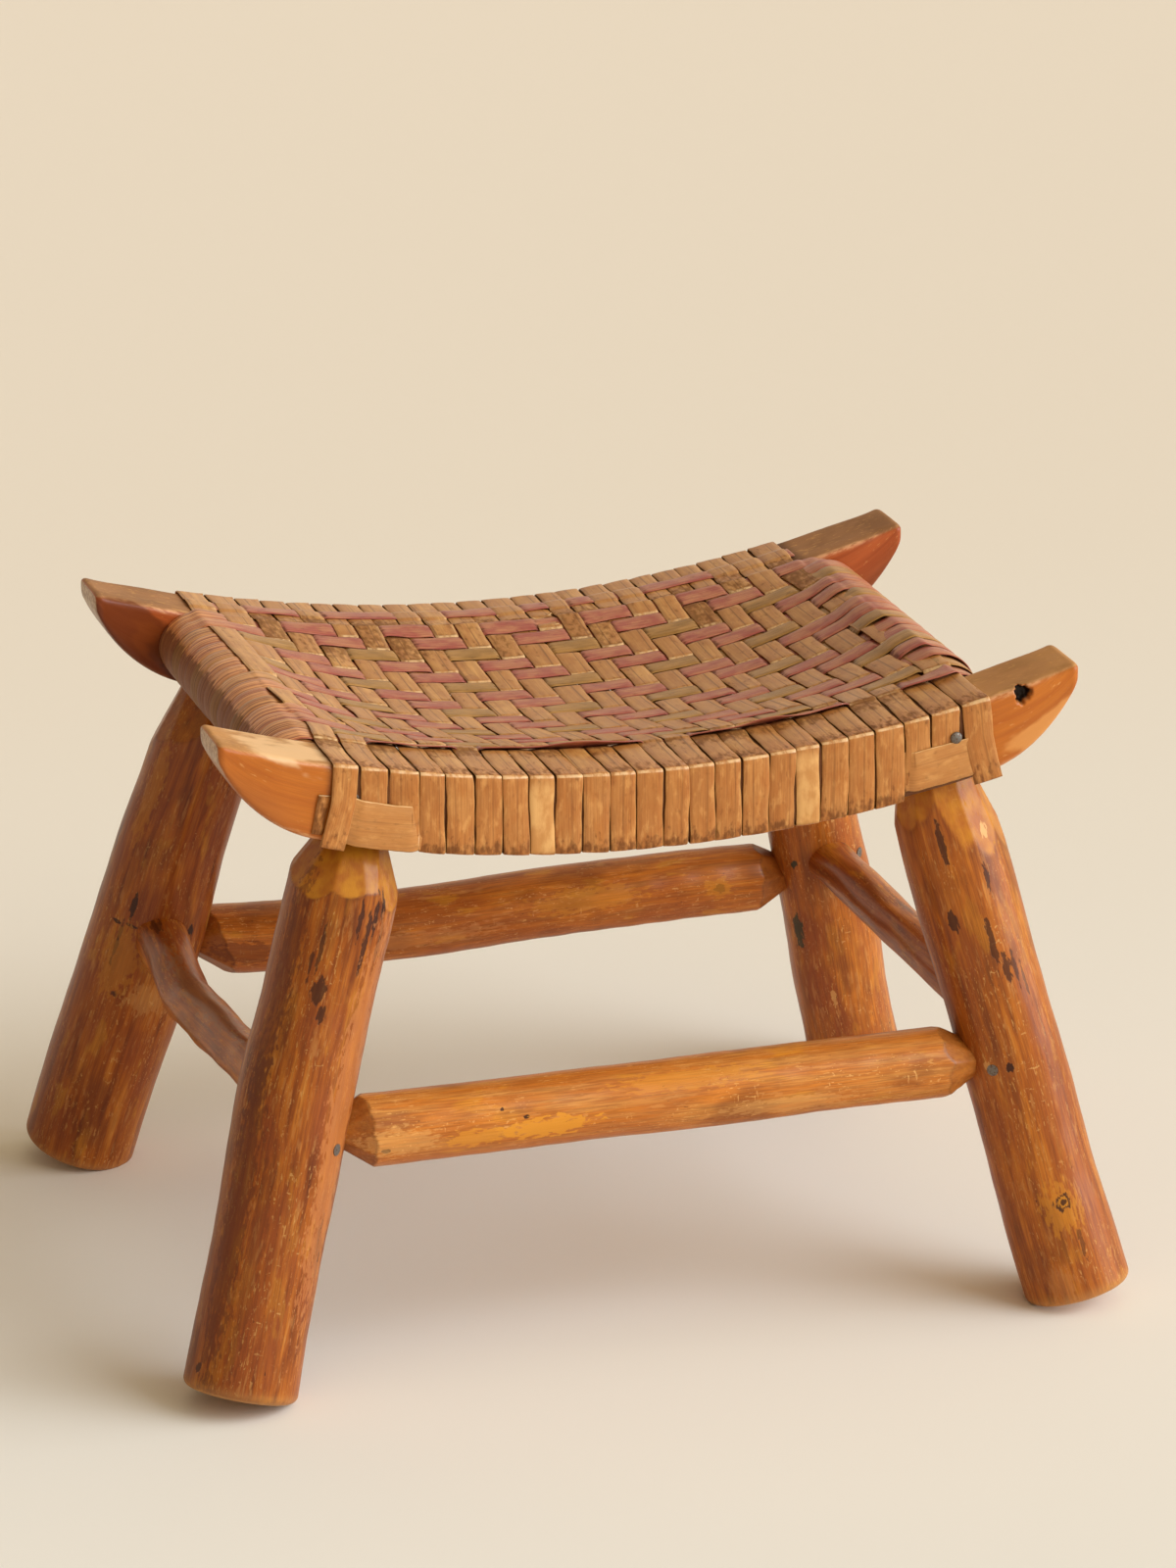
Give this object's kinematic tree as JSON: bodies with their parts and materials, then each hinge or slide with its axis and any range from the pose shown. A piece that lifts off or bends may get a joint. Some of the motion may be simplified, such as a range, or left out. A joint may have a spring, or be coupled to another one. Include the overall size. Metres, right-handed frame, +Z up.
{
  "type": "saddle stool",
  "caption": "Rustic saddle-seat stool: curved rails with upturned horns, splayed round-wood legs, pencil-point stretchers and a twill-woven splint seat.",
  "frame": {"origin": "bottom centre of the stool's bounding box, on the floor", "axes": "+X along the two saddle rails towards the end with the straight pole stretcher, -Y towards the front, the side whose rail has the open knot, +Z up"},
  "size_m": [0.5862, 0.4768, 0.3915],
  "materials": {
    "rail_wood": "sawn and rounded, oiled and varnished, worn pale on the upper edges",
    "end_rail_wood": "peeled round wood under the weave",
    "leg_wood": "peeled round wood under glossy orange-brown varnish, worn yellow in patches",
    "stretcher_wood": "peeled branches under glossy orange-brown varnish",
    "golden_splint": "flat tan splint with fine grain, satin",
    "pink_splint": "flat splint dyed dusty pink, brighter on its edges, satin",
    "olive_splint": "flat splint dyed olive, satin",
    "nail_steel": "dull grey wire nails"
  },
  "bodies": {
    "root": {"front_saddle_rail": "rail_wood", "back_saddle_rail": "rail_wood", "left_end_rail": "end_rail_wood", "right_end_rail": "end_rail_wood", "front_left_leg": "leg_wood", "front_right_leg": "leg_wood", "back_left_leg": "leg_wood", "back_right_leg": "leg_wood", "front_stretcher": "stretcher_wood", "back_stretcher": "stretcher_wood", "left_stretcher": "stretcher_wood", "right_stretcher": "stretcher_wood", "stretcher_nails": "nail_steel", "leg_tenon_nails": "nail_steel", "warp_splint_01": "golden_splint", "warp_splint_02": "golden_splint", "warp_splint_03": "golden_splint", "warp_splint_04": "golden_splint", "warp_splint_05": "golden_splint", "warp_splint_06": "golden_splint", "warp_splint_07": "golden_splint", "warp_splint_08": "golden_splint", "warp_splint_09": "golden_splint", "warp_splint_10": "golden_splint", "warp_splint_11": "golden_splint", "warp_splint_12": "golden_splint", "warp_splint_13": "golden_splint", "warp_splint_14": "golden_splint", "warp_splint_15": "golden_splint", "warp_splint_16": "golden_splint", "warp_splint_17": "golden_splint", "warp_splint_18": "golden_splint", "warp_splint_19": "golden_splint", "warp_splint_20": "golden_splint", "warp_splint_21": "golden_splint", "warp_splint_22": "golden_splint", "warp_splint_23": "golden_splint", "warp_splint_24": "golden_splint", "weft_splint_01": "pink_splint", "weft_splint_02": "pink_splint", "weft_splint_03": "pink_splint", "weft_splint_04": "olive_splint", "weft_splint_05": "pink_splint", "weft_splint_06": "pink_splint", "weft_splint_07": "olive_splint", "weft_splint_08": "pink_splint", "weft_splint_09": "pink_splint", "weft_splint_10": "olive_splint", "weft_splint_11": "pink_splint", "weft_splint_12": "pink_splint", "weft_splint_13": "olive_splint", "weft_splint_14": "pink_splint", "weft_splint_15": "pink_splint", "weft_splint_16": "olive_splint", "weft_splint_17": "pink_splint", "binder_splints": "golden_splint"}
  },
  "joints": []
}
